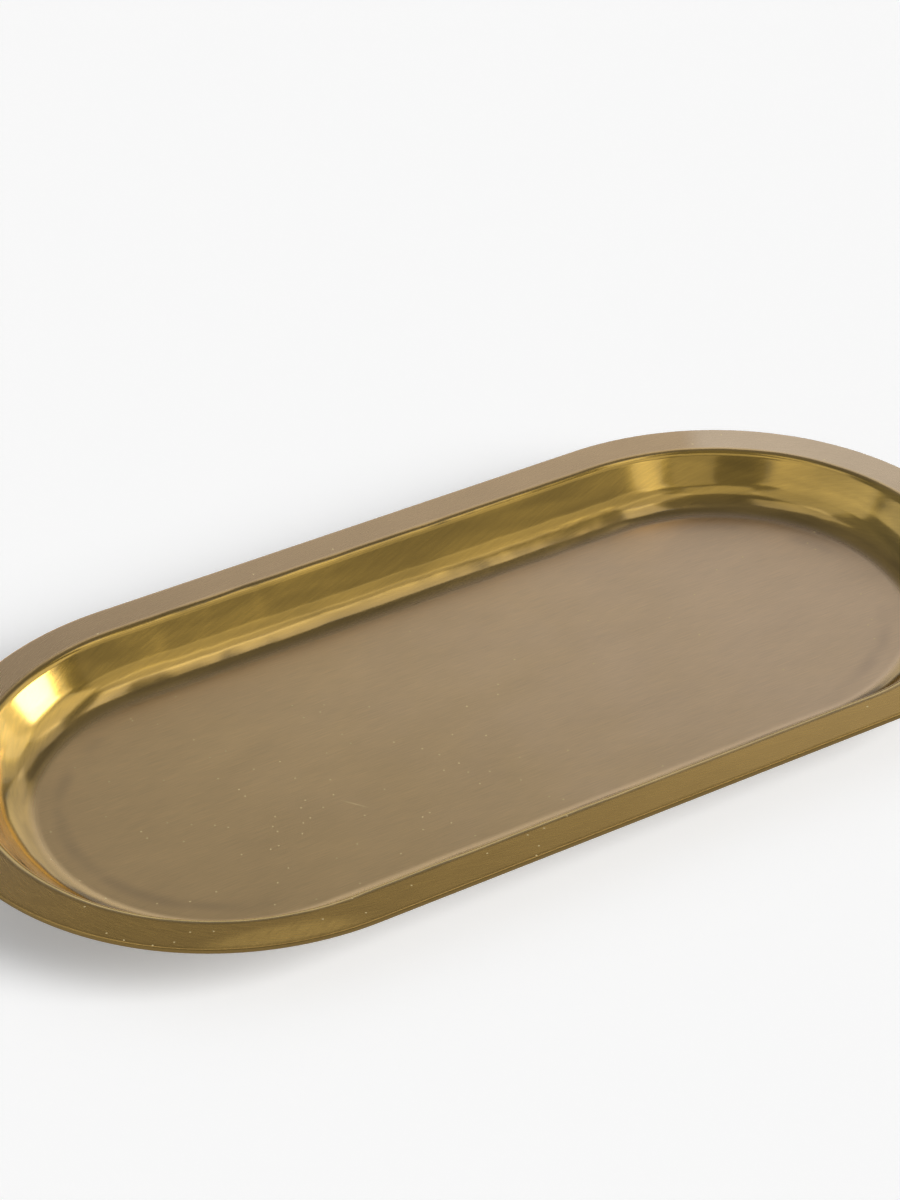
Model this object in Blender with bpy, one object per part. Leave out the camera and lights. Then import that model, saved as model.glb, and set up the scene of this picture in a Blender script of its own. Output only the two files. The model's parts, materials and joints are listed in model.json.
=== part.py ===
"""Guest towel tray: a long round-ended dish pressed from brass sheet, standing on four soft pads.

Run with: blender --background --python part.py

Units are metres and +Z is up. The origin is on the surface that the tray stands on, under the
middle of the tray, and the tray's long axis is X.

The pressing is one closed section, drawn as corners with radii, carried round the plan of the
tray: a straight side, a half turn, the other straight side and another half turn. What is left
open in the middle is the floor of the dish above and its underside below, each closed by a face.
"""
import math

import bmesh
import bpy
from mathutils import Vector

MM = 0.001

# Plan of the tray
OVERALL_LENGTH = 300 * MM
OVERALL_WIDTH = 150 * MM

# Section of the pressing
SHEET_THICKNESS = 1.5 * MM
RIM_WIDTH = 9.5 * MM
RIM_EDGE_ROUND = 0.45 * MM
ARRIS_INNER_RADIUS = 1.8 * MM
WELL_DEPTH = 13 * MM
WALL_ANGLE = math.radians(57)
COVE_RADIUS = 13.5 * MM

# Pads stuck under the floor of the dish
PAD_DIAMETER = 12 * MM
PAD_THICKNESS = 2 * MM
PAD_EDGE_ROUND = 0.6 * MM
PAD_GLUE_GAP = 0.3 * MM
PAD_FROM_FLOOR_EDGE = 19 * MM
PAD_BEARING = math.radians(70)

# Fineness of the facets
END_STEPS = 36
COVE_STEPS = 9
ARRIS_STEPS = 6
EDGE_STEPS = 3
PAD_STEPS = 32
SMOOTH_ANGLE = math.radians(35)
WELD_DISTANCE = 0.01 * MM

# Heights and radii that follow from the sizes above
END_RADIUS = OVERALL_WIDTH / 2
END_CENTRE_X = OVERALL_LENGTH / 2 - END_RADIUS
UNDERSIDE_Z = PAD_THICKNESS + PAD_GLUE_GAP
FLOOR_Z = UNDERSIDE_Z + SHEET_THICKNESS
RIM_Z = FLOOR_Z + WELL_DEPTH
ARRIS_OUTER_RADIUS = ARRIS_INNER_RADIUS + SHEET_THICKNESS

# A rounded corner takes this share of its radius from each of the two lines that it joins
CORNER_SHARE = math.tan(WALL_ANGLE / 2)
ROOM_ON_WALL = WELL_DEPTH / math.sin(WALL_ANGLE)
COVE_TOP_RADIUS = min(COVE_RADIUS, ROOM_ON_WALL / CORNER_SHARE - ARRIS_OUTER_RADIUS)
ARRIS_CORNER_RADIUS = END_RADIUS - RIM_WIDTH - ARRIS_OUTER_RADIUS * CORNER_SHARE
WALL_FOOT_RADIUS = ARRIS_CORNER_RADIUS - WELL_DEPTH / math.tan(WALL_ANGLE)
FLOOR_RADIUS = WALL_FOOT_RADIUS - COVE_TOP_RADIUS * CORNER_SHARE


def clear_scene():
    """Remove every object, so that the script can be run again in the same file."""
    for scene_object in list(bpy.data.objects):
        bpy.data.objects.remove(scene_object, do_unlink=True)


def rounded_corner(before, corner, after, radius, steps):
    """Return the points of the arc that rounds a corner of a section.

    The arc touches both sides of the corner, and its end points lie on them.
    """
    towards_before = (before - corner).normalized()
    towards_after = (after - corner).normalized()
    half_opening = towards_before.angle(towards_after) / 2
    centre = corner + (towards_before + towards_after).normalized() * radius / math.sin(half_opening)
    start = corner + towards_before * radius / math.tan(half_opening) - centre
    end = corner + towards_after * radius / math.tan(half_opening) - centre
    turn = start.angle_signed(end)
    points = []
    for step in range(steps + 1):
        angle = -turn * step / steps
        turned = Vector((
            start.x * math.cos(angle) - start.y * math.sin(angle),
            start.x * math.sin(angle) + start.y * math.cos(angle),
        ))
        points.append(centre + turned)
    return points


def rounded_section(corners):
    """Return a section's points from corners given as (position, radius, steps).

    The first and the last corner are the section's ends and stay as they are.
    """
    points = [corners[0][0]]
    for before, (corner, radius, steps), after in zip(corners, corners[1:-1], corners[2:]):
        points.extend(rounded_corner(before[0], corner, after[0], radius, steps))
    points.append(corners[-1][0])
    return points


def sheet_section():
    """Return the section of cove, wall and rim as (distance from the end's centre, height).

    It runs along the upper side from the floor's edge out to the rim's edge, and back underneath,
    where each corner lies one sheet thickness from both lines that meet in the corner above it.
    """
    floor_edge = Vector((FLOOR_RADIUS, FLOOR_Z))
    wall_foot = Vector((WALL_FOOT_RADIUS, FLOOR_Z))
    arris = Vector((ARRIS_CORNER_RADIUS, RIM_Z))
    rim_edge = Vector((END_RADIUS, RIM_Z))

    straight_down = Vector((0, -SHEET_THICKNESS))
    down_at_wall = Vector((SHEET_THICKNESS * CORNER_SHARE, -SHEET_THICKNESS))

    return rounded_section([
        (floor_edge, 0, 0),
        (wall_foot, COVE_TOP_RADIUS, COVE_STEPS),
        (arris, ARRIS_OUTER_RADIUS, ARRIS_STEPS),
        (rim_edge, RIM_EDGE_ROUND, EDGE_STEPS),
        (rim_edge + straight_down, RIM_EDGE_ROUND, EDGE_STEPS),
        (arris + down_at_wall, ARRIS_INNER_RADIUS, ARRIS_STEPS),
        (wall_foot + down_at_wall, COVE_TOP_RADIUS + SHEET_THICKNESS, COVE_STEPS),
        (floor_edge + straight_down, 0, 0),
    ])


def add_wire(mesh, points):
    """Add points to a mesh as a chain of edges and return its vertices and edges."""
    vertices = [mesh.verts.new(point) for point in points]
    edges = [mesh.edges.new(pair) for pair in zip(vertices, vertices[1:])]
    return vertices + edges


def carry_straight(mesh, section, distance):
    """Extrude a section along X and return the section at the far end."""
    edges = [part for part in section if isinstance(part, bmesh.types.BMEdge)]
    extruded = bmesh.ops.extrude_edge_only(mesh, edges=edges)["geom"]
    vertices = [part for part in extruded if isinstance(part, bmesh.types.BMVert)]
    bmesh.ops.translate(mesh, verts=vertices, vec=(distance, 0, 0))
    return [part for part in extruded if not isinstance(part, bmesh.types.BMFace)]


def carry_round(mesh, section, centre_x):
    """Turn a section by half a circle about an end's centre and return it at the far side."""
    spun = bmesh.ops.spin(
        mesh,
        geom=section,
        cent=(centre_x, 0, 0),
        axis=(0, 0, 1),
        angle=math.pi,
        steps=END_STEPS,
        use_duplicate=False,
    )
    return spun["geom_last"]


def principled(name, colour, roughness, metallic):
    """Return a material with one Principled BSDF."""
    material = bpy.data.materials.new(name)
    material.use_nodes = True
    shader = material.node_tree.nodes["Principled BSDF"]
    shader.inputs["Base Color"].default_value = (*colour, 1.0)
    shader.inputs["Roughness"].default_value = roughness
    shader.inputs["Metallic"].default_value = metallic
    return material


def satin_brass():
    """Return the lacquered brass of the pressing."""
    return principled("satin_brass", (0.66, 0.50, 0.27), roughness=0.32, metallic=1.0)


def pad_rubber():
    """Return the dark polyurethane of the stick-on pads."""
    return principled("pad_rubber", (0.10, 0.10, 0.10), roughness=0.55, metallic=0.0)


def finish_mesh(working_mesh, name, material):
    """Turn a working mesh into a smooth-shaded mesh with its faces pointing out."""
    bmesh.ops.remove_doubles(working_mesh, verts=working_mesh.verts, dist=WELD_DISTANCE)
    bmesh.ops.recalc_face_normals(working_mesh, faces=working_mesh.faces)
    mesh = bpy.data.meshes.new(name)
    working_mesh.to_mesh(mesh)
    working_mesh.free()
    mesh.shade_smooth()
    mesh.set_sharp_from_angle(angle=SMOOTH_ANGLE)
    mesh.materials.append(material)
    return mesh


def place(name, mesh, location=(0, 0, 0)):
    """Add a mesh to the scene as a named object."""
    scene_object = bpy.data.objects.new(name, mesh)
    scene_object.location = location
    bpy.context.scene.collection.objects.link(scene_object)


def build_tray_body():
    """Carry the sheet's section once round the plan and close the floor above and below."""
    mesh = bmesh.new()
    points = [Vector((END_CENTRE_X, -distance, height)) for distance, height in sheet_section()]
    section = add_wire(mesh, points)
    section = carry_round(mesh, section, END_CENTRE_X)
    section = carry_straight(mesh, section, -2 * END_CENTRE_X)
    section = carry_round(mesh, section, -END_CENTRE_X)
    carry_straight(mesh, section, 2 * END_CENTRE_X)
    bmesh.ops.remove_doubles(mesh, verts=mesh.verts, dist=WELD_DISTANCE)
    floor_outlines = [edge for edge in mesh.edges if edge.is_boundary]
    bmesh.ops.holes_fill(mesh, edges=floor_outlines, sides=0)
    place("tray_body", finish_mesh(mesh, "tray_body", satin_brass()))


def pad_section():
    """Return half of a pad's section as (distance from its axis, height).

    The free end below has a rounded edge, and the glued end above a sharp one.
    """
    radius = PAD_DIAMETER / 2
    return rounded_section([
        (Vector((0, 0)), 0, 0),
        (Vector((radius, 0)), PAD_EDGE_ROUND, EDGE_STEPS),
        (Vector((radius, PAD_THICKNESS)), 0, 0),
    ]) + [Vector((0, PAD_THICKNESS))]


def build_pad_mesh():
    """Turn a pad's section once round its axis."""
    mesh = bmesh.new()
    points = [Vector((distance, 0, height)) for distance, height in pad_section()]
    outline = add_wire(mesh, points)
    bmesh.ops.spin(
        mesh,
        geom=outline,
        cent=(0, 0, 0),
        axis=(0, 0, 1),
        angle=2 * math.pi,
        steps=PAD_STEPS,
        use_duplicate=False,
    )
    return finish_mesh(mesh, "foot_pad", pad_rubber())


def build_pads():
    """Stick two pads under each end of the floor, well inside its edge."""
    mesh = build_pad_mesh()
    reach = FLOOR_RADIUS - PAD_FROM_FLOOR_EDGE
    pad_x = END_CENTRE_X + reach * math.cos(PAD_BEARING)
    pad_y = reach * math.sin(PAD_BEARING)
    for side_name, side in (("front", -1), ("rear", 1)):
        for end_name, end in (("left", -1), ("right", 1)):
            place(f"foot_pad_{side_name}_{end_name}", mesh, (end * pad_x, side * pad_y, 0))


def main():
    clear_scene()
    build_tray_body()
    build_pads()


main()
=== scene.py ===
"""Guest towel tray of lacquered brass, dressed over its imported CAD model, in a small studio.

The tray body is carried round its plan by Geometry Nodes, from the same section as the CAD solid
but with finer facets, so that its polished wall mirrors the lights without steps.
"""

import json
import logging
import math
from dataclasses import dataclass, field
from typing import Any

import bpy
from mathutils import Matrix, Vector

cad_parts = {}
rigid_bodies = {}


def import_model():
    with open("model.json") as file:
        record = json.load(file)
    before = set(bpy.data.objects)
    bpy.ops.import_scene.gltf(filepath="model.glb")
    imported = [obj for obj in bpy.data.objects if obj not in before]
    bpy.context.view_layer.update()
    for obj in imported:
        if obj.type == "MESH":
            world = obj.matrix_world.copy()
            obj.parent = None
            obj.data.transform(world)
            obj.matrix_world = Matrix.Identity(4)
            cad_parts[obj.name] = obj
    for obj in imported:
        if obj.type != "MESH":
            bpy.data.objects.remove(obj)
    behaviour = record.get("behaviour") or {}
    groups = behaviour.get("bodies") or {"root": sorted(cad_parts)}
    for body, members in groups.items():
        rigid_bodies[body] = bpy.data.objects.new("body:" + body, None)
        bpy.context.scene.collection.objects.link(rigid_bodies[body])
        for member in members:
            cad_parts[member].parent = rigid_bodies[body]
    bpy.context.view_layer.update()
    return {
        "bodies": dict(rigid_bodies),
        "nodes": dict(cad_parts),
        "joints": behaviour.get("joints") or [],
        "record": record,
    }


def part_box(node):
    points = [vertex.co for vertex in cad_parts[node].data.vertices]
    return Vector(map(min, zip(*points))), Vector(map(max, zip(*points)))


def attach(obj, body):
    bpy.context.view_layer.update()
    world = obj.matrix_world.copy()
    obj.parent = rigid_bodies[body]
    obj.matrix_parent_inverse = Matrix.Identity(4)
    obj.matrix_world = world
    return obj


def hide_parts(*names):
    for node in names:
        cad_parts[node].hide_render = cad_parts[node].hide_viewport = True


MM = 0.001
BODY = "root"
WHITE = (1.0, 1.0, 1.0, 1.0)

Tree = bpy.types.NodeTree
Node = bpy.types.Node
Feed = bpy.types.Node | bpy.types.NodeSocket  # what can feed an input

# The node types used most
MATH = "ShaderNodeMath"
VECTOR_MATH = "ShaderNodeVectorMath"
ROTATE = "ShaderNodeVectorRotate"
MIX = "ShaderNodeMix"
MAP_RANGE = "ShaderNodeMapRange"
NOISE = "ShaderNodeTexNoise"

log = logging.getLogger("towel_tray")


def linear(hex_colour: str) -> tuple[float, float, float, float]:
    """Turn an sRGB hex colour into the linear colour that a shader takes.

    Args:
        hex_colour: Six hex digits, such as "c8a060".

    Returns:
        Red, green and blue in linear light, and an alpha of 1.
    """
    channels = [int(hex_colour[start:start + 2], 16) / 255 for start in (0, 2, 4)]
    curve = [c / 12.92 if c <= 0.04045 else ((c + 0.055) / 1.055) ** 2.4 for c in channels]
    return (*curve, 1.0)


def add_node(
    tree: Tree, kind: str, inputs: dict[str | int, Any] | None = None, **settings: Any
) -> Node:
    """Add a node to a tree with its settings and its inputs.

    Args:
        tree: The tree that gets the node.
        kind: The node's type name.
        inputs: Names or indices of input sockets, each with a value, with the socket that feeds
            it, or with the node whose first live output does.
        **settings: Properties of the node and their values.

    Returns:
        The new node.
    """
    node = tree.nodes.new(kind)
    for name, value in settings.items():
        setattr(node, name, value)
    for key, value in (inputs or {}).items():
        if isinstance(value, bpy.types.Node):
            value = next(output for output in value.outputs if output.enabled)
        if isinstance(value, bpy.types.NodeSocket):
            tree.links.new(value, node.inputs[key])
        else:
            node.inputs[key].default_value = value
    return node


def new_material(name: str) -> tuple[bpy.types.Material, Tree]:
    """Return a material whose node tree is empty.

    Args:
        name: The material's name.

    Returns:
        The material and its node tree.
    """
    material = bpy.data.materials.new(name)
    material.use_nodes = True
    tree = material.node_tree
    tree.nodes.clear()
    return material, tree


@dataclass(frozen=True)
class PressingSection:
    """Section of the pressed sheet, in metres: flat rim, rounded arris, wall, cove and floor."""

    end_radius: float
    end_centre: float
    underside_z: float
    sheet: float = 1.5 * MM
    rim_width: float = 9.5 * MM
    edge_round: float = 0.45 * MM
    arris_inner_radius: float = 1.8 * MM
    well_depth: float = 13 * MM
    wall_angle: float = math.radians(57)
    cove_radius: float = 13.5 * MM

    @property
    def arris_outer_radius(self) -> float:
        """Radius on the upper side of the arris."""
        return self.arris_inner_radius + self.sheet

    @property
    def floor_z(self) -> float:
        """Height of the floor's upper side."""
        return self.underside_z + self.sheet

    @property
    def rim_z(self) -> float:
        """Height of the rim's upper side."""
        return self.floor_z + self.well_depth

    @property
    def bend_share(self) -> float:
        """Share of its radius that a bend of the wall's angle takes from each of its lines."""
        return math.tan(self.wall_angle / 2)

    @property
    def arris_distance(self) -> float:
        """Distance from the end's centre to the corner of rim and wall."""
        return self.end_radius - self.rim_width - self.arris_outer_radius * self.bend_share

    @property
    def wall_foot(self) -> float:
        """Distance from the end's centre to the corner of wall and floor."""
        return self.arris_distance - self.well_depth / math.tan(self.wall_angle)

    @property
    def floor_radius(self) -> float:
        """Distance from the end's centre to the edge of the flat floor."""
        return self.wall_foot - self.cove_radius * self.bend_share


@dataclass
class TrayBody:
    """The pressing itself: one sheet, its section carried round a plan with half-round ends."""

    section: PressingSection
    end_steps: int = 90
    cove_steps: int = 28
    arris_steps: int = 16
    edge_steps: int = 6
    flat_step: float = 0.6 * MM
    weld: float = 0.005 * MM
    # A hair under one half, so that the two bends of an end don't share a point.
    nearly_half: float = 0.499999

    def corners(self) -> list[tuple[float, float, float, int]]:
        """Return the section's corners, from the floor's edge out over the rim and back below.

        Returns:
            For each corner its distance outside the floor's edge, its height, its rounding and
            the number of steps in that rounding.
        """
        s = self.section
        foot = s.wall_foot - s.floor_radius
        arris = s.arris_distance - s.floor_radius
        edge = s.end_radius - s.floor_radius
        mitre = s.sheet * s.bend_share
        under_rim_z = s.rim_z - s.sheet
        return [
            (0, s.floor_z, 0, 1),
            (foot, s.floor_z, s.cove_radius, self.cove_steps),
            (arris, s.rim_z, s.arris_outer_radius, self.arris_steps),
            (edge, s.rim_z, s.edge_round, self.edge_steps),
            (edge, under_rim_z, s.edge_round, self.edge_steps),
            (arris + mitre, under_rim_z, s.arris_inner_radius, self.arris_steps),
            (foot + mitre, s.underside_z, s.cove_radius + s.sheet, self.cove_steps),
            (0, s.underside_z, 0, 1),
        ]

    def build_tree(self, material: bpy.types.Material) -> Tree:
        """Build the tree that turns the section's corners and the plan's sizes into the pressing.

        Args:
            material: The finish that the tree puts on the mesh.

        Returns:
            The Geometry Nodes tree.
        """
        tree = bpy.data.node_groups.new("pressed_round_ended_tray", "GeometryNodeTree")
        tree.interface.new_socket("Pressing", in_out="OUTPUT", socket_type="NodeSocketGeometry")
        count = len(self.corners())
        named_inputs = {
            "Floor Length": "Float",
            "Floor Width": "Float",
            "Floor Height": "Float",
            "Sheet": "Float",
            "Flat Step": "Float",
            "Quarter Steps": "Int",
        }
        for number in range(count):
            named_inputs[f"Corner {number}"] = "Vector"
            named_inputs[f"Rounding {number}"] = "Float"
            named_inputs[f"Steps {number}"] = "Int"
        for name, kind in named_inputs.items():
            tree.interface.new_socket(name, in_out="INPUT", socket_type=f"NodeSocket{kind}")
        sizes = add_node(tree, "NodeGroupInput").outputs

        # A line with one point for each corner is bent to the section and rounded.
        index = add_node(tree, "GeometryNodeInputIndex")
        choices = {}
        for prefix, data_type in (("Corner", "VECTOR"), ("Rounding", "FLOAT"), ("Steps", "INT")):
            choice = add_node(tree, "GeometryNodeIndexSwitch", data_type=data_type)
            while len(choice.index_switch_items) < count:
                choice.index_switch_items.new()
            tree.links.new(index.outputs[0], choice.inputs["Index"])
            for number in range(count):
                tree.links.new(sizes[f"{prefix} {number}"], choice.inputs[number + 1])
            choices[prefix] = choice
        line = add_node(tree, "GeometryNodeCurvePrimitiveLine")
        drawn = add_node(tree, "GeometryNodeResampleCurve", {"Curve": line, "Count": count})
        bent = add_node(
            tree, "GeometryNodeSetPosition", {"Geometry": drawn, "Position": choices["Corner"]}
        )
        rounded = add_node(
            tree,
            "GeometryNodeFilletCurve",
            {
                "Curve": bent,
                "Radius": choices["Rounding"],
                "Count": choices["Steps"],
                "Limit Radius": False,
            },
            mode="POLY",
        )

        # Straight stretches are cut into short steps, so that smooth shading keeps them flat.
        here = add_node(tree, "GeometryNodeInputPosition")
        following = add_node(tree, "FunctionNodeIntegerMath", {0: index, 1: 1}, operation="ADD")
        there = add_node(
            tree,
            "GeometryNodeFieldAtIndex",
            {"Index": following, "Value": here},
            data_type="FLOAT_VECTOR",
        )
        stretch = add_node(tree, VECTOR_MATH, {0: here, 1: there}, operation="DISTANCE")
        cuts = add_node(tree, MATH, {0: stretch, 1: sizes["Flat Step"]}, operation="DIVIDE")
        profile = add_node(tree, "GeometryNodeSubdivideCurve", {"Curve": rounded, "Cuts": cuts})

        oblong = add_node(
            tree,
            "GeometryNodeCurvePrimitiveQuadrilateral",
            {"Width": sizes["Floor Length"], "Height": sizes["Floor Width"]},
        )
        end_radius = add_node(
            tree, MATH, {0: sizes["Floor Width"], 1: self.nearly_half}, operation="MULTIPLY"
        )
        plan = add_node(
            tree,
            "GeometryNodeFilletCurve",
            {
                "Curve": oblong,
                "Radius": end_radius,
                "Count": sizes["Quarter Steps"],
                "Limit Radius": True,
            },
            mode="POLY",
        )
        upright = add_node(tree, "GeometryNodeSetCurveNormal", {"Curve": plan}, mode="Z_UP")
        side = add_node(
            tree, "GeometryNodeCurveToMesh", {"Curve": upright, "Profile Curve": profile}
        )

        bottom = add_node(tree, "GeometryNodeFillCurve", {"Curve": plan}, mode="NGONS")
        drop = add_node(
            tree, MATH, {0: sizes["Floor Height"], 1: sizes["Sheet"]}, operation="SUBTRACT"
        )
        faces = []
        for height in (sizes["Floor Height"], drop):
            lift = add_node(tree, "ShaderNodeCombineXYZ", {"Z": height})
            faces.append(
                add_node(tree, "GeometryNodeTransform", {"Geometry": bottom, "Translation": lift})
            )
        upper, lower = faces
        turned = add_node(tree, "GeometryNodeFlipFaces", {"Mesh": lower})

        joined = add_node(tree, "GeometryNodeJoinGeometry")
        for part in (side, upper, turned):
            tree.links.new(part.outputs[0], joined.inputs[0])
        welded = add_node(
            tree, "GeometryNodeMergeByDistance", {"Geometry": joined, "Distance": self.weld}
        )
        smooth = add_node(tree, "GeometryNodeSetShadeSmooth", {"Geometry": welded})
        real = add_node(tree, "GeometryNodeRealizeInstances", {"Geometry": smooth})
        dressed = add_node(
            tree, "GeometryNodeSetMaterial", {"Geometry": real, "Material": material}
        )
        add_node(tree, "NodeGroupOutput", {0: dressed})
        return tree

    def build(self, material: bpy.types.Material) -> bpy.types.Object:
        """Make the finer body as a plain mesh that stands for the CAD node.

        Args:
            material: The brass finish.

        Returns:
            The body's object, riding on the CAD body.
        """
        s = self.section
        tree = self.build_tree(material)
        values = {
            "Floor Length": 2 * (s.end_centre + s.floor_radius),
            "Floor Width": 2 * s.floor_radius,
            "Floor Height": s.floor_z,
            "Sheet": s.sheet,
            "Flat Step": self.flat_step,
            "Quarter Steps": self.end_steps // 2,
        }
        for number, (out, height, rounding, steps) in enumerate(self.corners()):
            # A profile's Y hangs down from its path.
            values[f"Corner {number}"] = (out, -height, 0.0)
            values[f"Rounding {number}"] = rounding
            values[f"Steps {number}"] = steps
        seed_mesh = bpy.data.meshes.new("pressing_seed")
        seed = bpy.data.objects.new("pressing_seed", seed_mesh)
        bpy.context.scene.collection.objects.link(seed)
        modifier = seed.modifiers.new("pressing", "NODES")
        modifier.node_group = tree
        for item in tree.interface.items_tree:
            if item.in_out == "INPUT":
                modifier[item.identifier] = values[item.name]
        bpy.context.view_layer.update()
        evaluated = seed.evaluated_get(bpy.context.evaluated_depsgraph_get())
        mesh = bpy.data.meshes.new_from_object(evaluated)
        bpy.data.objects.remove(seed, do_unlink=True)
        mesh.name = "pressed_tray"
        body = bpy.data.objects.new("pressed_tray", mesh)
        bpy.context.scene.collection.objects.link(body)
        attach(body, BODY)
        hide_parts("tray_body")
        log.info("pressed tray: %d faces", len(mesh.polygons))
        return body


@dataclass(frozen=True)
class PlanPoint:
    """Where a point of the tray lies on its plan, as outputs in a material's tree.

    place holds its Object coordinates, x and y are two of them. distance is taken from the line
    between the ends' centres, beyond is how far past the line's ends it lies, along X, run is its
    way round the plan, and tangent points along it. finished is 1 on the upper side within the
    cut edge.
    """

    place: Feed
    x: Feed
    y: Feed
    distance: Feed
    beyond: Feed
    run: Feed
    tangent: Feed
    finished: Feed


@dataclass(frozen=True)
class Zones:
    """Masks from 0 to 1 of all that lies outside the floor, of the rim and of the buffed wall."""

    outside: Feed
    rim: Feed
    buffed: Feed


@dataclass(frozen=True)
class Lines:
    """Brush strokes and buffing ripples from 0 to 1, and the brushing's direction in the world."""

    strokes: Feed
    ripples: Feed
    tangent: Feed


@dataclass(frozen=True)
class BrushLines:
    """Scratches of the brushing, and the long ripples that buffing leaves.

    Real brush lines are some 0.05 mm wide. They are drawn 0.28 mm wide, so that they show.
    """

    stroke_length: float = 8.0 * MM
    stroke_width: float = 0.28 * MM
    slant: float = math.radians(10)
    ripple_length: float = 38 * MM
    ripple_width: float = 3.5 * MM

    def lay(self, tree: Tree, plan: PlanPoint, zones: Zones) -> Lines:
        """Lay the lines straight along the floor, and round the plan on wall and rim.

        Args:
            tree: The material's node tree.
            plan: Where the point lies.
            zones: The finish's zones.

        Returns:
            The lines and their direction.
        """
        along, across = 1 / self.stroke_length, 1 / self.stroke_width
        ripple_along, ripple_across = 1 / self.ripple_length, 1 / self.ripple_width
        lengthwise = (1, 0, 0)
        straight = add_node(
            tree, VECTOR_MATH, {0: plan.place, 1: (along, across, 0)}, operation="MULTIPLY"
        )
        unrolled = add_node(
            tree, "ShaderNodeCombineXYZ", {"X": plan.run, "Y": plan.distance, "Z": plan.y}
        )
        slanted = add_node(
            tree, ROTATE, {"Vector": unrolled, "Angle": -self.slant}, rotation_type="Z_AXIS"
        )
        round_plan = add_node(
            tree, VECTOR_MATH, {0: slanted, 1: (along, across, along)}, operation="MULTIPLY"
        )
        lie = add_node(
            tree, MIX, {"Factor": zones.outside, 4: straight, 5: round_plan}, data_type="VECTOR"
        )
        strokes = add_node(
            tree, NOISE, {"Vector": lie, "Scale": 1.0, "Detail": 3.0, "Roughness": 0.65}
        )
        stretched = add_node(
            tree,
            VECTOR_MATH,
            {0: unrolled, 1: (ripple_along, ripple_across, ripple_along)},
            operation="MULTIPLY",
        )
        ripples = add_node(
            tree,
            NOISE,
            {
                "Vector": stretched,
                "Scale": 1.0,
                "Detail": 1.5,
                "Roughness": 0.5,
                "Distortion": 0.3,
            },
        )
        slanted_tangent = add_node(
            tree, ROTATE, {"Vector": plan.tangent, "Angle": self.slant}, rotation_type="Z_AXIS"
        )
        brushing = add_node(
            tree,
            MIX,
            {"Factor": zones.outside, 4: lengthwise, 5: slanted_tangent},
            data_type="VECTOR",
        )
        in_world = add_node(
            tree,
            "ShaderNodeVectorTransform",
            {"Vector": brushing},
            vector_type="VECTOR",
            convert_from="OBJECT",
            convert_to="WORLD",
        )
        return Lines(strokes, ripples, in_world)


@dataclass(frozen=True)
class CompoundStain:
    """Dull arcs that polishing compound left beside the cove, at both ends.

    They set in past the line where the half-round ends begin, and noise breaks them up.
    """

    colour: str = "7c6664"
    strength: float = 0.2
    inside_floor: float = 4.436 * MM
    width: float = 3.2 * MM
    starts_past_line: float = 2 * MM
    full_past_line: float = 22 * MM
    patch_size: float = 24 * MM
    patch_edge: tuple[float, float] = (0.38, 0.62)

    def share(self, tree: Tree, plan: PlanPoint, floor_radius: float) -> Node:
        """Work out how much of the stain lies at a point.

        Args:
            tree: The material's node tree.
            plan: Where the point lies.
            floor_radius: Distance from the end's centre to the edge of the flat floor.

        Returns:
            A node that gives the share of the stain's colour, at most its strength.
        """
        ring = floor_radius - self.inside_floor
        off_ring = add_node(tree, MATH, {0: plan.distance, 1: ring}, operation="SUBTRACT")
        off_ring_size = add_node(tree, MATH, {0: off_ring}, operation="ABSOLUTE")
        past_line = add_node(tree, MATH, {0: plan.beyond}, operation="ABSOLUTE")
        patches = add_node(
            tree,
            NOISE,
            {"Vector": plan.place, "Scale": 1 / self.patch_size, "Detail": 2.0, "Roughness": 0.6},
        )
        stain = self.strength
        for value, none_at, full_at in (
            (off_ring_size, self.width, 0.0),
            (past_line, self.starts_past_line, self.full_past_line),
            (patches, *self.patch_edge),
        ):
            mask = add_node(
                tree,
                MAP_RANGE,
                {"Value": value, "From Min": none_at, "From Max": full_at},
                interpolation_type="SMOOTHSTEP",
            )
            stain = add_node(tree, MATH, {0: stain, 1: mask}, operation="MULTIPLY")
        return stain


@dataclass(frozen=True)
class LacquerSpecks:
    """Pale pinholes and dust nibs that dried in the lacquer, thickest round one place.

    Real nibs are about 0.2 mm across. They are drawn 0.6 mm across, so that they show.
    """

    colour: str = "ffe5a8"
    spacing: float = 2.4 * MM
    radius: float = 0.3 * MM
    core: float = 0.6
    dust_place: tuple[float, float] = (-85 * MM, -45 * MM)
    dust_near: float = 20 * MM
    dust_far: float = 110 * MM
    # A cell holds a speck where its own random number, times this weight, passes the limit.
    weight_near: float = 0.95
    weight_far: float = 0.888
    limit: float = 0.88

    def mask(self, tree: Tree, plan: PlanPoint) -> Node:
        """Scatter the specks.

        Args:
            tree: The material's node tree.
            plan: Where the point lies.

        Returns:
            A node that gives 1 on a speck.
        """
        cells = add_node(
            tree,
            "ShaderNodeTexVoronoi",
            {"Vector": plan.place, "Scale": 1 / self.spacing},
            voronoi_dimensions="2D",
            feature="F1",
        )
        dot = add_node(
            tree,
            MAP_RANGE,
            {
                "Value": cells,
                "From Min": self.radius / self.spacing,
                "From Max": self.core * self.radius / self.spacing,
            },
        )
        draw = add_node(tree, "ShaderNodeSeparateColor", {0: cells.outputs["Color"]})
        from_dust = add_node(
            tree, VECTOR_MATH, {0: plan.place, 1: (*self.dust_place, 0)}, operation="DISTANCE"
        )
        weight = add_node(
            tree,
            MAP_RANGE,
            {
                "Value": from_dust,
                "From Min": self.dust_near,
                "From Max": self.dust_far,
                "To Min": self.weight_near,
                "To Max": self.weight_far,
            },
        )
        weighed = add_node(tree, MATH, {0: draw, 1: weight}, operation="MULTIPLY")
        kept = add_node(tree, MATH, {0: weighed, 1: self.limit}, operation="GREATER_THAN")
        return add_node(tree, MATH, {0: dot, 1: kept}, operation="MULTIPLY")


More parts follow.
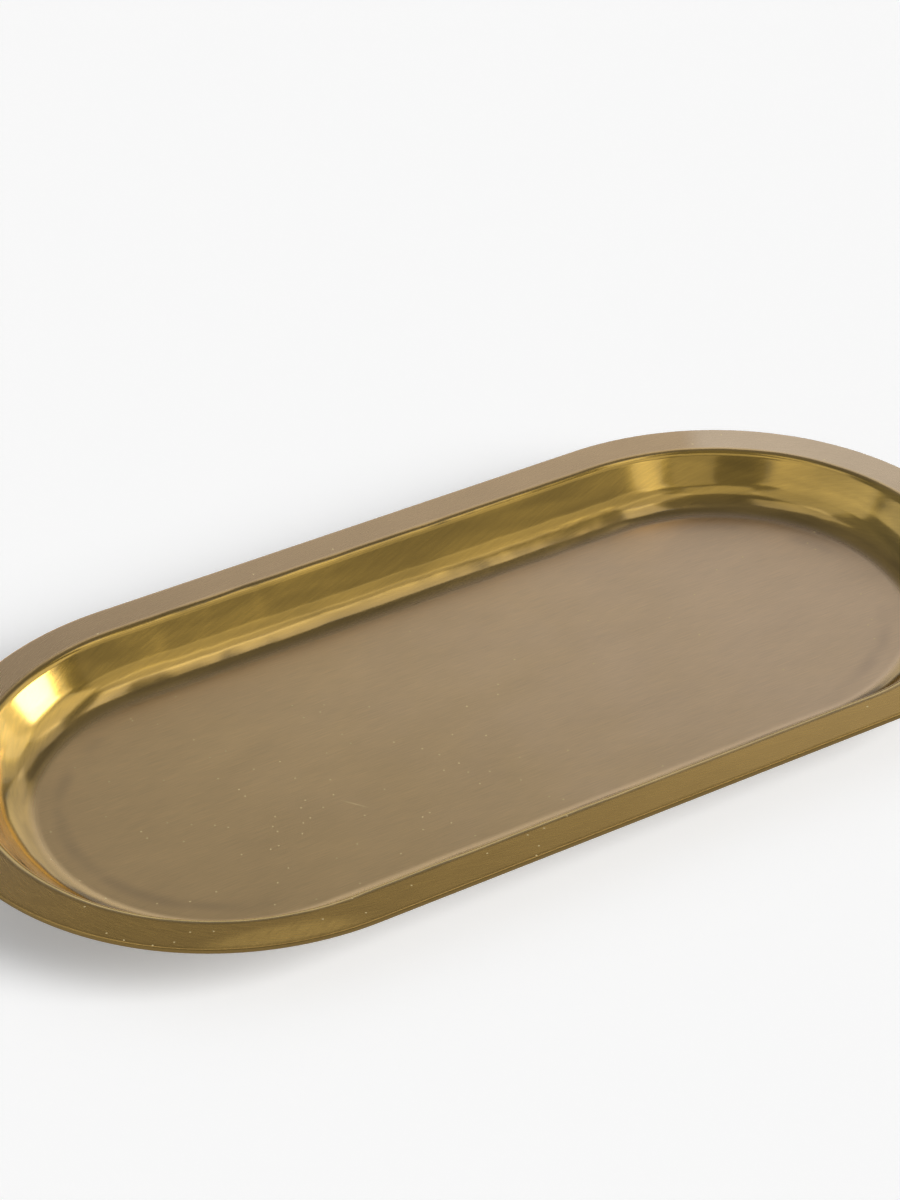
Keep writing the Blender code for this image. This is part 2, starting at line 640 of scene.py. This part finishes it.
@dataclass(frozen=True)
class OvalMark:
    """A mark of oval outline that fades towards its edge."""

    place: tuple[float, float]
    angle: float
    half_length: float
    half_width: float
    fades_from: float
    full_within: float
    strength: float = 1.0
    interpolation: str = "LINEAR"

    def mask(self, tree: Tree, plan: PlanPoint) -> Node:
        """Draw the mark.

        Args:
            tree: The material's node tree.
            plan: Where the point lies.

        Returns:
            A node that gives the mark's strength in its middle and 0 outside its outline.
        """
        spot = add_node(
            tree, VECTOR_MATH, {0: plan.place, 1: (*self.place, 0)}, operation="SUBTRACT"
        )
        turned = add_node(
            tree, ROTATE, {"Vector": spot, "Angle": -self.angle}, rotation_type="Z_AXIS"
        )
        squeezed = add_node(
            tree,
            VECTOR_MATH,
            {0: turned, 1: (1 / self.half_length, 1 / self.half_width, 0)},
            operation="MULTIPLY",
        )
        reach = add_node(tree, VECTOR_MATH, {0: squeezed}, operation="LENGTH")
        return add_node(
            tree,
            MAP_RANGE,
            {
                "Value": reach,
                "From Min": self.fades_from,
                "From Max": self.full_within,
                "To Max": self.strength,
            },
            interpolation_type=self.interpolation,
        )


@dataclass(frozen=True)
class BendStrokesAndGlint:
    """Cross strokes left where the rim's front bend was touched up by hand, in a gold that is a
    painted reflection: it stands in for the golden reflection along the bend's outer half.

    They are drawn as wide as the brush lines, and wider than real ones, so that they show.
    """

    # Gold of the strokes, a painted reflection.
    colour: str = "ffd274"
    stroke_angle: float = math.radians(25)
    stroke_length: float = 5 * MM
    stroke_width: float = 0.28 * MM
    stroke_edge: tuple[float, float] = (0.25, 0.55)
    patch: OvalMark = OvalMark(
        place=(-97 * MM, -68 * MM),
        angle=math.radians(-16),
        half_length=22 * MM,
        half_width=4.2 * MM,
        fades_from=1.15,
        full_within=0.4,
        interpolation="SMOOTHSTEP",
    )

    def mask(self, tree: Tree, plan: PlanPoint) -> Node:
        """Draw the strokes within their patch.

        Args:
            tree: The material's node tree.
            plan: Where the point lies.

        Returns:
            A node that gives 0 off the strokes and up to 1 on them.
        """
        across_bend = add_node(
            tree,
            ROTATE,
            {"Vector": plan.place, "Angle": -self.stroke_angle},
            rotation_type="Z_AXIS",
        )
        drawn = add_node(
            tree,
            VECTOR_MATH,
            {0: across_bend, 1: (1 / self.stroke_length, 1 / self.stroke_width, 0)},
            operation="MULTIPLY",
        )
        strokes = add_node(
            tree, NOISE, {"Vector": drawn, "Scale": 1.0, "Detail": 2.0, "Roughness": 0.6}
        )
        low, high = self.stroke_edge
        shown = add_node(tree, MAP_RANGE, {"Value": strokes, "From Min": low, "From Max": high})
        patch = self.patch.mask(tree, plan)
        return add_node(tree, MATH, {0: shown, 1: patch}, operation="MULTIPLY")


@dataclass(frozen=True)
class BrassColours:
    """Colours of the finished brass: warm gold where buffed, paler under the satin.

    The rim is painted darker gold at the front and paler and greyer at the back, a painted
    reflection, and paler again past its right bend, a painted sheen. The wall's front is painted a
    paler yellow than its back, to tone down the orange of its reflection of the far wall. The
    floor is painted paler and greyer towards the right, a painted lightening with a noisy border.
    The cove's paler gold is a painted highlight, the cream of the highlight along the wall's foot.
    Ripples streak the wall, and clouds lie over it all. An edge is the pair of values between
    which a painted lightening, ripple or cloud sets in.
    """

    floor: str = "f3d098"
    # Painted lightening: the floor is painted paler and greyer towards the right.
    floor_painted_light: str = "f2d3ae"
    # Painted reflection: the rim is darker gold at the front and paler, greyer at the back.
    front_rim: str = "e9be6a"
    back_rim: str = "e0bf92"
    # Painted sheen: the rim pales past its right bend, towards the back.
    rim_painted_sheen: str = "f0d6b4"
    # Painted reflection: the wall's front is a paler yellow than its back, to tone down the orange
    # of its reflection of the far wall.
    front_wall: str = "eed07e"
    back_wall: str = "f0c45c"
    # Painted highlight: the cove's paler gold matches the cream highlight along the wall's foot.
    cove: str = "dfb96c"
    # Span along Y of the painted reflection on rim and wall.
    painted_reflection_front_to_back: tuple[float, float] = (-52 * MM, 52 * MM)
    # Where the rim's painted sheen sets in, round the plan and from front to back.
    past_right_bend: tuple[float, float] = (106 * MM, 115 * MM)
    rim_sheen_starts: tuple[float, float] = (-28 * MM, 15 * MM)
    # Where the cove's painted highlight gives way to the wall's gold.
    cove_to_wall: tuple[float, float] = (52 * MM, 58 * MM)
    # Noise size, drift and edge of the floor's painted lightening.
    painted_light_noise_size: float = 26 * MM
    painted_light_drift: float = 90 * MM
    painted_light_edge: tuple[float, float] = (-40 * MM, 170 * MM)
    ripple_edge: tuple[float, float] = (0.38, 0.62)
    ripple_shades: tuple[float, float] = (0.78, 1.06)
    cloud_size: float = 12 * MM
    cloud_stretch: float = 2.0
    stroke_weight: float = 1.6
    cloud_edge: tuple[float, float] = (0.85, 1.75)
    cloud_shades: tuple[float, float] = (0.92, 1.12)

    def mix(self, tree: Tree, plan: PlanPoint, zones: Zones, lines: Lines) -> Node:
        """Mix the colour of the clean metal, with the light and shade painted into it.

        Args:
            tree: The material's node tree.
            plan: Where the point lies.
            zones: The finish's zones.
            lines: The strokes and ripples that shade the colour.

        Returns:
            A node that gives the colour.
        """
        # The floor's painted lightening: paler and greyer past a border along X that noise moves.
        drift = add_node(
            tree,
            NOISE,
            {"Vector": plan.place, "Scale": 1 / self.painted_light_noise_size, "Detail": 3.0, "Roughness": 0.6},
        )
        painted_light_place = add_node(
            tree, MATH, {0: drift, 1: self.painted_light_drift, 2: plan.x}, operation="MULTIPLY_ADD"
        )
        fades = []
        for value, (low, high) in (
            (plan.y, self.painted_reflection_front_to_back),
            (plan.run, self.past_right_bend),
            (plan.y, self.rim_sheen_starts),
            (painted_light_place, self.painted_light_edge),
            (plan.distance, self.cove_to_wall),
        ):
            fades.append(
                add_node(
                    tree,
                    MAP_RANGE,
                    {"Value": value, "From Min": low, "From Max": high},
                    interpolation_type="SMOOTHSTEP",
                )
            )
        painted_reflection_backwards, past_bend, rim_sheen_starts_mask, floor_painted_light_mask, up_the_wall = fades
        # The rim's painted sheen, past its right bend and towards the back.
        rim_sheen_mask = add_node(tree, MATH, {0: past_bend, 1: rim_sheen_starts_mask}, operation="MULTIPLY")

        cloud_place = add_node(
            tree,
            VECTOR_MATH,
            {0: plan.place, 1: (1 / self.cloud_stretch, 1, 1)},
            operation="MULTIPLY",
        )
        clouds = add_node(
            tree,
            NOISE,
            {"Vector": cloud_place, "Scale": 1 / self.cloud_size, "Detail": 4.0, "Roughness": 0.6},
        )
        cloud_and_stroke = add_node(
            tree,
            MATH,
            {0: lines.strokes, 1: self.stroke_weight, 2: clouds},
            operation="MULTIPLY_ADD",
        )
        shades = []
        for value, (low, high), (dark, light) in (
            (lines.ripples, self.ripple_edge, self.ripple_shades),
            (cloud_and_stroke, self.cloud_edge, self.cloud_shades),
        ):
            shades.append(
                add_node(
                    tree,
                    MAP_RANGE,
                    {
                        "Value": value,
                        "From Min": low,
                        "From Max": high,
                        "To Min": dark,
                        "To Max": light,
                    },
                )
            )
        ripple_shade, cloud_shade = shades

        mixed: dict[str, Any] = {}
        for name, factor, first, second in (
            # Painted lightening of the floor towards the right.
            ("floor", floor_painted_light_mask, linear(self.floor), linear(self.floor_painted_light)),
            # Painted reflection on the rim, from front to back.
            ("rim", painted_reflection_backwards, linear(self.front_rim), linear(self.back_rim)),
            # Painted sheen on the rim past its right bend.
            ("rim", rim_sheen_mask, "rim", linear(self.rim_painted_sheen)),
            ("satin", zones.rim, "floor", "rim"),
            # Painted reflection on the wall, from front to back.
            ("wall", painted_reflection_backwards, linear(self.front_wall), linear(self.back_wall)),
            # Painted highlight: the cove's paler gold gives way to the wall's.
            ("buffed", up_the_wall, linear(self.cove), "wall"),
            ("buffed", ripple_shade, "buffed", None),
            ("clean", zones.buffed, "satin", "buffed"),
            ("clouded", cloud_shade, "clean", None),
        ):
            # A row mixes two colours or earlier rows, or scales one where it has no second.
            first = mixed.get(first, first)
            if second is None:
                mixed[name] = add_node(
                    tree, VECTOR_MATH, {0: first, "Scale": factor}, operation="SCALE"
                )
            else:
                mixed[name] = add_node(
                    tree,
                    MIX,
                    {"Factor": factor, 6: first, 7: mixed.get(second, second)},
                    data_type="RGBA",
                )
        return mixed["clouded"]


@dataclass(frozen=True)
class LacqueredBrass:
    """Brass sheet under clear lacquer: brushed satin on rim and floor, buffed bright on the wall.

    The scratches of the brushing spread a reflection across their own direction, so the satin
    zones look matt and a little milky, while the buffed wall mirrors the room in clear gold. The
    underside is bare and has dulled to a flat brown, and the cut edge to a dark gold.
    """

    colours: BrassColours = BrassColours()
    brushing: BrushLines = BrushLines()
    stain: CompoundStain = CompoundStain()
    specks: LacquerSpecks = LacquerSpecks()
    # Real cross strokes on the front bend, drawn in the gold of a painted reflection.
    bend_strokes_and_glint: BendStrokesAndGlint = BendStrokesAndGlint()
    # The floor's one scratch is a hairline. It is drawn up to 0.4 mm wide, so that it shows.
    scratch: OvalMark = OvalMark(
        place=(-50.2 * MM, -18.9 * MM),
        angle=math.radians(-55),
        half_length=4.5 * MM,
        half_width=0.2 * MM,
        fades_from=1.0,
        full_within=0.6,
        strength=0.5,
    )
    bare_colour: str = "6a5c40"
    edge_colour: str = "80693c"
    rim_roughness: float = 0.26
    wall_roughness: float = 0.14
    floor_roughness: float = 0.33
    bare_roughness: float = 0.5
    stroke_edge: tuple[float, float] = (0.2, 0.8)
    stroke_roughness: tuple[float, float] = (0.85, 1.15)
    anisotropy: float = 0.5
    lacquer_weight: float = 0.6
    lacquer_roughness: float = 0.15
    wall_lacquer_weight: float = 1.0
    wall_lacquer_roughness: float = 0.08
    buffed_past_floor: float = 2.464 * MM
    buffed_short_of_rim: float = 0.7 * MM
    foot_blend: float = 1.8 * MM
    arris_blend: float = 1.2 * MM
    # Measured in from the tray's outline, as shares of the cut edge's rounding.
    finish_stops: float = 0.3
    edge_starts: float = 1.2
    # The finish covers what faces up by at least this much.
    least_upward: float = 0.02
    stroke_depth: float = 0.0014 * MM
    stroke_share_on_wall: float = 0.12
    ripple_depth: float = 0.04 * MM
    ripple_share_on_satin: float = 0.1
    wave_size: float = 15 * MM
    wave_depth: float = 0.42 * MM
    bend_glint_scatter: float = 0.27
    scattering_metallic: float = 0.42

    def _plan(self, tree: Tree, section: PressingSection) -> PlanPoint:
        """Work out where a point lies on the plan.

        Args:
            tree: The material's node tree.
            section: The section, for the place of the ends' centres.

        Returns:
            The point's place on the plan.
        """
        spot = add_node(tree, "ShaderNodeTexCoord")
        place = spot.outputs["Object"]
        axes = add_node(tree, "ShaderNodeSeparateXYZ", {0: place})
        x, y = axes.outputs["X"], axes.outputs["Y"]
        centre = section.end_centre
        nearest = add_node(tree, "ShaderNodeClamp", {"Value": x, "Min": -centre, "Max": centre})
        beyond = add_node(tree, MATH, {0: x, 1: nearest}, operation="SUBTRACT")
        outward = add_node(tree, "ShaderNodeCombineXYZ", {"X": beyond, "Y": y})
        distance = add_node(tree, VECTOR_MATH, {0: outward}, operation="LENGTH")
        upright = (0, 0, 1)
        along = add_node(tree, VECTOR_MATH, {0: upright, 1: outward}, operation="CROSS_PRODUCT")
        tangent = add_node(tree, VECTOR_MATH, {0: along}, operation="NORMALIZE")
        side = add_node(tree, MATH, {0: y}, operation="ABSOLUTE")
        turn = add_node(tree, MATH, {0: beyond, 1: side}, operation="ARCTAN2")
        run = add_node(
            tree, MATH, {0: turn, 1: section.end_radius, 2: nearest}, operation="MULTIPLY_ADD"
        )
        facing = add_node(tree, "ShaderNodeSeparateXYZ", {0: spot.outputs["Normal"]})
        upper = add_node(
            tree, MATH, {0: facing.outputs["Z"], 1: self.least_upward}, operation="GREATER_THAN"
        )
        finish_end = section.end_radius - self.finish_stops * section.edge_round
        before_edge = add_node(tree, MATH, {0: distance, 1: finish_end}, operation="LESS_THAN")
        finished = add_node(tree, MATH, {0: upper, 1: before_edge}, operation="MULTIPLY")
        return PlanPoint(place, x, y, distance, beyond, run, tangent, finished)

    def _zones(self, tree: Tree, plan: PlanPoint, section: PressingSection) -> Zones:
        """Mark the buffed wall and the rim.

        Args:
            tree: The material's node tree.
            plan: Where the point lies.
            section: The section, whose sizes bound the zones.

        Returns:
            The masks of the zones.
        """
        masks = []
        buffed_from = section.floor_radius + self.buffed_past_floor
        buffed_to = section.end_radius - section.rim_width - self.buffed_short_of_rim
        for border, blend in ((buffed_from, self.foot_blend), (buffed_to, self.arris_blend)):
            masks.append(
                add_node(
                    tree,
                    MAP_RANGE,
                    {
                        "Value": plan.distance,
                        "From Min": border - blend,
                        "From Max": border + blend,
                    },
                    interpolation_type="SMOOTHSTEP",
                )
            )
        outside, rim = masks
        wall = add_node(tree, MATH, {0: outside, 1: rim}, operation="SUBTRACT")
        buffed = add_node(tree, MATH, {0: wall, 1: plan.finished}, operation="MULTIPLY")
        return Zones(outside, rim, buffed)

    def material(self, section: PressingSection) -> bpy.types.Material:
        """Make the material.

        Args:
            section: The section of the pressing that gets the finish.

        Returns:
            The brass material.
        """
        material, tree = new_material("lacquered_brass")
        plan = self._plan(tree, section)
        zones = self._zones(tree, plan, section)
        lines = self.brushing.lay(tree, plan, zones)
        # Cross strokes on the front bend, whose gold is a painted reflection.
        bend_strokes_and_glint = self.bend_strokes_and_glint.mask(tree, plan)
        satin_here = add_node(tree, MATH, {0: 1.0, 1: zones.buffed}, operation="SUBTRACT")
        marks = add_node(
            tree,
            MATH,
            {0: self.specks.mask(tree, plan), 1: self.scratch.mask(tree, plan)},
            operation="MAXIMUM",
        )
        blemishes = add_node(tree, MATH, {0: marks, 1: satin_here}, operation="MULTIPLY")

        colour = self.colours.mix(tree, plan, zones, lines)
        for factor, mark_colour in (
            (self.stain.share(tree, plan, section.floor_radius), self.stain.colour),
            # The bend strokes' gold is a painted reflection.
            (bend_strokes_and_glint, self.bend_strokes_and_glint.colour),
            (blemishes, self.specks.colour),
        ):
            colour = add_node(
                tree, MIX, {"Factor": factor, 6: colour, 7: linear(mark_colour)}, data_type="RGBA"
            )
        edge_start = section.end_radius - self.edge_starts * section.edge_round
        at_edge = add_node(tree, MATH, {0: plan.distance, 1: edge_start}, operation="GREATER_THAN")
        bare = add_node(
            tree,
            MIX,
            {"Factor": at_edge, 6: linear(self.bare_colour), 7: linear(self.edge_colour)},
            data_type="RGBA",
        )
        colour_or_bare = add_node(
            tree, MIX, {"Factor": plan.finished, 6: bare, 7: colour}, data_type="RGBA"
        )

        satin_roughness = add_node(
            tree,
            MIX,
            {"Factor": zones.outside, 2: self.floor_roughness, 3: self.rim_roughness},
            data_type="FLOAT",
        )
        # Each value runs from the one on rim and floor to the one on the buffed wall.
        by_zone = []
        for on_satin, on_wall in (
            (satin_roughness, self.wall_roughness),
            (self.stroke_depth, self.stroke_share_on_wall * self.stroke_depth),
            (self.ripple_share_on_satin * self.ripple_depth, self.ripple_depth),
            (0.0, self.wave_depth),
            (self.lacquer_weight, self.wall_lacquer_weight),
            (self.lacquer_roughness, self.wall_lacquer_roughness),
        ):
            by_zone.append(
                add_node(
                    tree, MIX, {"Factor": zones.buffed, 2: on_satin, 3: on_wall}, data_type="FLOAT"
                )
            )
        roughness, stroke_depth, ripple_depth, wave_depth, lacquer, lacquer_roughness = by_zone

        uneven = add_node(
            tree,
            MAP_RANGE,
            {
                "Value": lines.strokes,
                "From Min": self.stroke_edge[0],
                "From Max": self.stroke_edge[1],
                "To Min": self.stroke_roughness[0],
                "To Max": self.stroke_roughness[1],
            },
        )
        finished_roughness = add_node(tree, MATH, {0: roughness, 1: uneven}, operation="MULTIPLY")
        roughness_here = add_node(
            tree,
            MIX,
            {"Factor": plan.finished, 2: self.bare_roughness, 3: finished_roughness},
            data_type="FLOAT",
        )

        # Hand buffing leaves the wall a little wavy, which bends what it mirrors. All depths
        # are in metres, and the bump takes them as they are.
        waves = add_node(
            tree, NOISE, {"Vector": plan.place, "Scale": 1 / self.wave_size, "Detail": 1.0}
        )
        relief = add_node(tree, MATH, {0: lines.strokes, 1: stroke_depth}, operation="MULTIPLY")
        for pattern, depth in ((lines.ripples, ripple_depth), (waves, wave_depth)):
            relief = add_node(
                tree, MATH, {0: pattern, 1: depth, 2: relief}, operation="MULTIPLY_ADD"
            )
        bump = add_node(
            tree, "ShaderNodeBump", {"Strength": 1.0, "Distance": 1.0, "Height": relief}
        )

        lacquer_or_none = add_node(
            tree, MATH, {0: lacquer, 1: plan.finished}, operation="MULTIPLY"
        )

        # Specks and cross strokes catch light from every side, as a mirror doesn't.
        scattering = add_node(
            tree,
            MATH,
            {0: bend_strokes_and_glint, 1: self.bend_glint_scatter, 2: blemishes},
            operation="MULTIPLY_ADD",
        )
        metallic = add_node(
            tree,
            MIX,
            {"Factor": scattering, 2: 1.0, 3: self.scattering_metallic},
            data_type="FLOAT",
        )
        shader = add_node(
            tree,
            "ShaderNodeBsdfPrincipled",
            {
                "Base Color": colour_or_bare,
                "Metallic": metallic,
                "Roughness": roughness_here,
                "Anisotropic": self.anisotropy,
                "Tangent": lines.tangent,
                "Coat Weight": lacquer_or_none,
                "Coat Roughness": lacquer_roughness,
                "Normal": bump,
            },
        )
        add_node(tree, "ShaderNodeOutputMaterial", {"Surface": shader})
        return material


@dataclass(frozen=True)
class PadPolyurethane:
    """Soft cast polyurethane of the stick-on pads: dark, even, with the dull bloom of rubber.

    The skin is faintly pebbled, so that a highlight on it is broad and soft. Table dust lies in
    the pebbles and greys them.
    """

    colour: str = "262525"
    dust_colour: str = "4a4744"
    dust_edge: tuple[float, float] = (0.5, 0.3)
    roughness: float = 0.55
    pebble_size: float = 0.5 * MM
    pebble_depth: float = 0.02 * MM

    def material(self) -> bpy.types.Material:
        """Make the material.

        Returns:
            The pad material.
        """
        material, tree = new_material("pad_polyurethane")
        spot = add_node(tree, "ShaderNodeTexCoord")
        pebbles = add_node(
            tree,
            NOISE,
            {"Vector": spot.outputs["Object"], "Scale": 1 / self.pebble_size, "Detail": 3.0},
        )
        none_at, full_at = self.dust_edge
        dust = add_node(
            tree,
            MAP_RANGE,
            {"Value": pebbles, "From Min": none_at, "From Max": full_at},
            interpolation_type="SMOOTHSTEP",
        )
        colour = add_node(
            tree,
            MIX,
            {"Factor": dust, 6: linear(self.colour), 7: linear(self.dust_colour)},
            data_type="RGBA",
        )
        height = add_node(tree, MATH, {0: pebbles, 1: self.pebble_depth}, operation="MULTIPLY")
        bump = add_node(
            tree, "ShaderNodeBump", {"Strength": 1.0, "Distance": 1.0, "Height": height}
        )
        shader = add_node(
            tree,
            "ShaderNodeBsdfPrincipled",
            {"Base Color": colour, "Roughness": self.roughness, "Normal": bump},
        )
        add_node(tree, "ShaderNodeOutputMaterial", {"Surface": shader})
        return material


@dataclass
class FootPads:
    """The four pads under the floor, shown as their CAD solids."""

    nodes: tuple[str, ...] = (
        "foot_pad_front_left",
        "foot_pad_front_right",
        "foot_pad_rear_left",
        "foot_pad_rear_right",
    )

    def dress(self, frame: dict[str, Any], material: bpy.types.Material) -> None:
        """Give each pad its finish.

        Args:
            material: The pads' finish.
        """
        for name in self.nodes:
            for slot in frame["nodes"][name].material_slots:
                slot.material = material
        log.info("foot pads: %d", len(self.nodes))


@dataclass
class Lamp:
    """A lamp that faces the tray. Angles are in degrees."""

    name: str
    azimuth: float
    elevation: float

    def hang(self, light: bpy.types.Light, distance: float) -> bpy.types.Object:
        """Put the lamp in the scene.

        Args:
            light: The lamp's light.
            distance: How far from the tray it hangs, in metres.

        Returns:
            The lamp's object.
        """
        azimuth, elevation = math.radians(self.azimuth), math.radians(self.elevation)
        direction = Vector((
            math.cos(azimuth) * math.cos(elevation),
            math.sin(azimuth) * math.cos(elevation),
            math.sin(elevation),
        ))
        item = bpy.data.objects.new(self.name, light)
        item.location = direction * distance
        item.rotation_euler = direction.to_track_quat("Z", "Y").to_euler()
        bpy.context.scene.collection.objects.link(item)
        return item


@dataclass
class Softbox(Lamp):
    """A rectangular lamp on a half dome round the tray.

    These lamps are what the brass mirrors. They give the paper no light.
    """

    spread: float
    rise: float
    radiance: float
    distance: float = 1.6

    @property
    def width(self) -> float:
        """Width that covers the spread of azimuth at the lamp's elevation."""
        across = 2 * self.distance * math.tan(math.radians(self.spread / 2))
        return across * math.cos(math.radians(self.elevation))

    @property
    def height(self) -> float:
        """Height that covers the rise of elevation."""
        return 2 * self.distance * math.tan(math.radians(self.rise / 2))

    def place(self) -> None:
        """Add the lamp to the scene."""
        light = bpy.data.lights.new(self.name, "AREA")
        light.shape = "RECTANGLE"
        light.size = self.width
        light.size_y = self.height
        light.energy = self.radiance * math.pi * self.width * self.height
        self.hang(light, self.distance).visible_diffuse = False


@dataclass
class Skylight(Lamp):
    """A wide, even light from far away, for the paper and its shadow. The brass mirrors none."""

    spread: float
    share: float

    def place(self) -> None:
        """Add the light to the scene."""
        light = bpy.data.lights.new(self.name, "SUN")
        light.angle = math.radians(self.spread)
        light.energy = self.share * math.pi / math.sin(math.radians(self.elevation))
        self.hang(light, 0.0).visible_glossy = False


@dataclass
class Studio:
    """Table, lamps and the room's own light."""

    paper_colour: str = "f4f4f4"
    paper_roughness: float = 0.9
    paper_glow: float = 0.3
    table_reach: float = 6.0
    room_level: float = 0.14
    softboxes: list[Softbox] = field(default_factory=list)
    skylights: list[Skylight] = field(default_factory=list)

    def _paper(self) -> bpy.types.Material:
        """Make the table's matt white paper, which glows faintly for the camera and the brass.

        Returns:
            The paper's material.
        """
        material, tree = new_material("table_paper")
        ray = add_node(tree, "ShaderNodeLightPath").outputs
        seen = ray["Is Camera Ray"]
        for way in ("Is Glossy Ray", "Is Transmission Ray"):
            seen = add_node(tree, MATH, {0: seen, 1: ray[way]}, operation="MAXIMUM")
        glow = add_node(tree, MATH, {0: seen, 1: self.paper_glow}, operation="MULTIPLY")
        shader = add_node(
            tree,
            "ShaderNodeBsdfPrincipled",
            {
                "Base Color": linear(self.paper_colour),
                "Roughness": self.paper_roughness,
                "Specular IOR Level": 0.0,
                "Emission Color": WHITE,
                "Emission Strength": glow,
            },
        )
        add_node(tree, "ShaderNodeOutputMaterial", {"Surface": shader})
        return material

    def build(self) -> None:
        """Build the table and place the lamps."""
        mesh = bpy.data.meshes.new("table")
        reach = self.table_reach
        mesh.from_pydata(
            [(-reach, -reach, 0), (reach, -reach, 0), (reach, reach, 0), (-reach, reach, 0)],
            [],
            [(0, 1, 2, 3)],
        )
        table = bpy.data.objects.new("table", mesh)
        bpy.context.scene.collection.objects.link(table)
        mesh.materials.append(self._paper())

        world = bpy.data.worlds.new("room")
        bpy.context.scene.world = world
        world.use_nodes = True
        tree = world.node_tree
        tree.nodes.clear()
        room = add_node(
            tree, "ShaderNodeBackground", {"Color": WHITE, "Strength": self.room_level}
        )
        add_node(tree, "ShaderNodeOutputWorld", {"Surface": room})
        for lamp in (*self.softboxes, *self.skylights):
            lamp.place()
        log.info("studio: %d softboxes, %d skylights", len(self.softboxes), len(self.skylights))


@dataclass
class ProductCamera:
    """The camera: where it looks, from how far, and its lens. Angles are in degrees."""

    rim_z: float
    heading: float = 30.455
    downward: float = 34.377
    roll: float = -1.018
    distance: float = 0.94074
    aim_x: float = 7.11 * MM
    aim_y: float = 29.66 * MM
    lens: float = 106.28
    sensor: float = 36.0

    def place(self) -> None:
        """Add the camera and make it the scene's."""
        heading, downward = math.radians(self.heading), math.radians(self.downward)
        forward = Vector((
            math.sin(heading) * math.cos(downward),
            math.cos(heading) * math.cos(downward),
            -math.sin(downward),
        ))
        right = Vector((math.cos(heading), -math.sin(heading), 0))
        up = right.cross(forward)
        axes = Matrix((right, up, -forward)).transposed().to_4x4()
        data = bpy.data.cameras.new("product_camera")
        data.lens = self.lens
        data.sensor_width = self.sensor
        camera = bpy.data.objects.new("product_camera", data)
        aim = Vector((self.aim_x, self.aim_y, self.rim_z))
        camera.matrix_world = (
            Matrix.Translation(aim - forward * self.distance)
            @ axes
            @ Matrix.Rotation(math.radians(self.roll), 4, "Z")
        )
        bpy.context.scene.collection.objects.link(camera)
        bpy.context.scene.camera = camera


def daylit_room() -> Studio:
    """Lay out the studio as the room that the tray's wall mirrors, seen from the tray.

    Returns:
        The studio, not built yet.
    """
    return Studio(
        softboxes=[
            Softbox("key_window", 338, 17, 19, 14, 4.2),
            Softbox("key_window_glow", 336, 18, 28, 21, 0.7),
            Softbox("key_window_frame", 350, 16, 40, 28, 0.52),
            Softbox("key_window_upper", 345, 42, 44, 22, 0.55),
            Softbox("key_window_sill", 325, 5, 40, 10, 0.8),
            Softbox("right_wall", 10, 17, 26, 26, 0.4),
            Softbox("right_wall_upper", 18, 42, 26, 24, 0.3),
            Softbox("backdrop", 50, 25, 50, 26, 0.44),
            Softbox("rear_window", 97, 12, 40, 22, 1.4),
            Softbox("rear_left_wall", 138, 12, 38, 22, 0.3),
            Softbox("left_window", 180, 10, 40, 18, 3.0),
            Softbox("left_wall", 184, 32, 60, 28, 0.34),
            Softbox("left_ceiling", 182, 58, 60, 24, 0.3),
            Softbox("beside_camera", 256, 30, 22, 34, 0.17),
            Softbox("door", 280, 32, 15, 24, 0.6),
            Softbox("front_wall", 300, 27, 24, 22, 0.1),
            Softbox("front_wall_upper", 300, 47, 40, 22, 0.24),
            Softbox("front_ceiling", 306, 63, 50, 16, 0.32),
            Softbox("camera_ceiling", 245, 62, 56, 20, 0.22),
            Softbox("ceiling", 140, 74, 60, 24, 0.32),
            Softbox("ceiling_strip", 355, 67, 56, 9, 0.6),
        ],
        skylights=[
            Skylight("sky_front_right", 310, 30, 36, 0.51),
            Skylight("sky_above", 60, 80, 100, 0.06),
        ],
    )


def main() -> None:
    """Build the dressed tray, the studio and the camera."""
    logging.basicConfig(level=logging.INFO, format="%(name)s: %(message)s")
    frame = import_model()
    low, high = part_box("tray_body")
    end_radius = (high.y - low.y) / 2
    section = PressingSection(
        end_radius=end_radius,
        end_centre=(high.x - low.x) / 2 - end_radius,
        underside_z=low.z,
    )
    TrayBody(section).build(LacqueredBrass().material(section))
    FootPads().dress(frame, PadPolyurethane().material())
    daylit_room().build()
    ProductCamera(rim_z=high.z).place()
    bpy.context.scene.view_settings.view_transform = "Standard"


if __name__ == "__main__":
    main()
